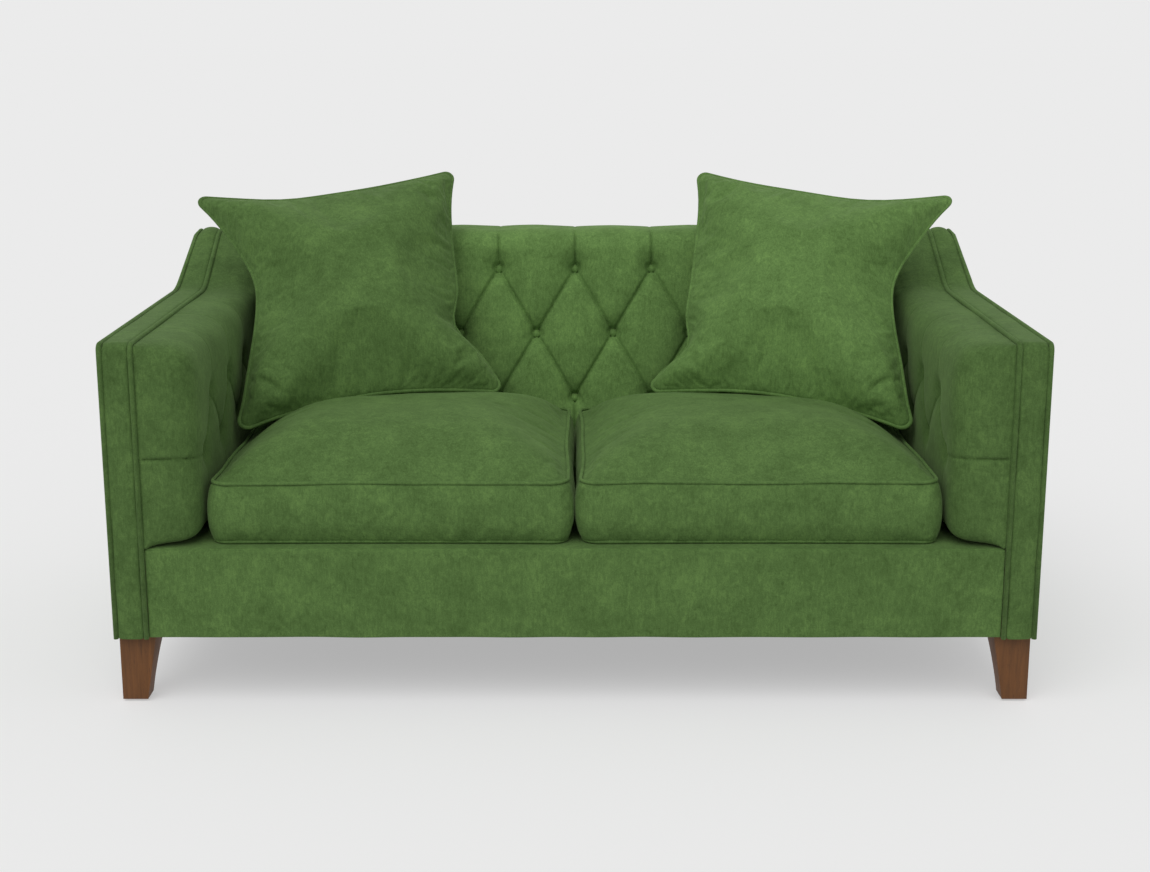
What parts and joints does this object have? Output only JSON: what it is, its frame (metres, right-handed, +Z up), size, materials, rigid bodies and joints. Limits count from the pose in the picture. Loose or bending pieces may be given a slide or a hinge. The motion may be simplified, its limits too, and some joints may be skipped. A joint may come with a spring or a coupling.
{
  "type": "two-seater sofa",
  "caption": "Two-seater sofa with swept arms, piped borders, deep-buttoned back, box seat cushions, leaning scatter cushions and tapered wooden legs.",
  "frame": {"origin": "on the floor under the middle of the sofa", "axes": "+X along the sofa, +Y from its front to its back, +Z up"},
  "size_m": [1.68, 0.924, 0.9001],
  "materials": {
    "velvet": "olive green crushed-pile velvet",
    "leg_wood": "satin walnut stain",
    "frame_wood": "sawn, unfinished",
    "hardboard": "smooth board",
    "steel": "drawn wire and plate",
    "felt": "needled felt",
    "webbing": "woven elastic strap",
    "dust_cloth": "spun-bonded cloth",
    "glide_plastic": "moulded"
  },
  "bodies": {
    "frame": {"arm_border_left": "velvet", "arm_border_right": "velvet", "arm_buttons_left": "velvet", "arm_buttons_right": "velvet", "arm_front_post_left": "frame_wood", "arm_front_post_right": "frame_wood", "arm_inner_piping_left": "velvet", "arm_inner_piping_right": "velvet", "arm_lining_left": "hardboard", "arm_lining_right": "hardboard", "arm_outer_cover_left": "velvet", "arm_outer_cover_right": "velvet", "arm_outer_piping_left": "velvet", "arm_outer_piping_right": "velvet", "arm_pad_left": "velvet", "arm_pad_right": "velvet", "arm_rear_post_left": "frame_wood", "arm_rear_post_right": "frame_wood", "arm_top_rail_left": "frame_wood", "arm_top_rail_right": "frame_wood", "back_buttons": "velvet", "back_pad": "velvet", "back_top_rail": "frame_wood", "back_upright_centre": "frame_wood", "back_upright_left": "frame_wood", "back_upright_right": "frame_wood", "back_webbing": "webbing", "base_rear_rail": "frame_wood", "centre_rail": "frame_wood", "corner_blocks": "frame_wood", "dust_cover": "dust_cloth", "front_border": "velvet", "front_rail": "frame_wood", "leg_bolts": "steel", "leg_front_left": "leg_wood", "leg_front_right": "leg_wood", "leg_glides": "glide_plastic", "leg_plates": "steel", "leg_rear_left": "leg_wood", "leg_rear_right": "leg_wood", "outside_back": "velvet", "seat_felt": "felt", "seat_platform": "velvet", "seat_rear_rail": "frame_wood", "seat_springs": "steel", "side_rail_left": "frame_wood", "side_rail_right": "frame_wood", "spring_clips": "steel"},
    "seat_cushion_left": {"seat_cushion_left": "velvet", "seat_piping_left": "velvet"},
    "scatter_cushion_left": {"scatter_cushion_left": "velvet", "scatter_piping_left": "velvet"},
    "seat_cushion_right": {"seat_cushion_right": "velvet", "seat_piping_right": "velvet"},
    "scatter_cushion_right": {"scatter_cushion_right": "velvet", "scatter_piping_right": "velvet"}
  },
  "joints": [
    {"name": "seat_cushion_left_lift", "type": "slide", "parent": "frame", "child": "seat_cushion_left", "axis": [0, 0, 1], "range_m": [0, 0.5]},
    {"name": "scatter_cushion_left_lift", "type": "slide", "parent": "seat_cushion_left", "child": "scatter_cushion_left", "axis": [0, 0, 1], "range_m": [0, 0.45]},
    {"name": "seat_cushion_right_lift", "type": "slide", "parent": "frame", "child": "seat_cushion_right", "axis": [0, 0, 1], "range_m": [0, 0.5]},
    {"name": "scatter_cushion_right_lift", "type": "slide", "parent": "seat_cushion_right", "child": "scatter_cushion_right", "axis": [0, 0, 1], "range_m": [0, 0.45]}
  ]
}
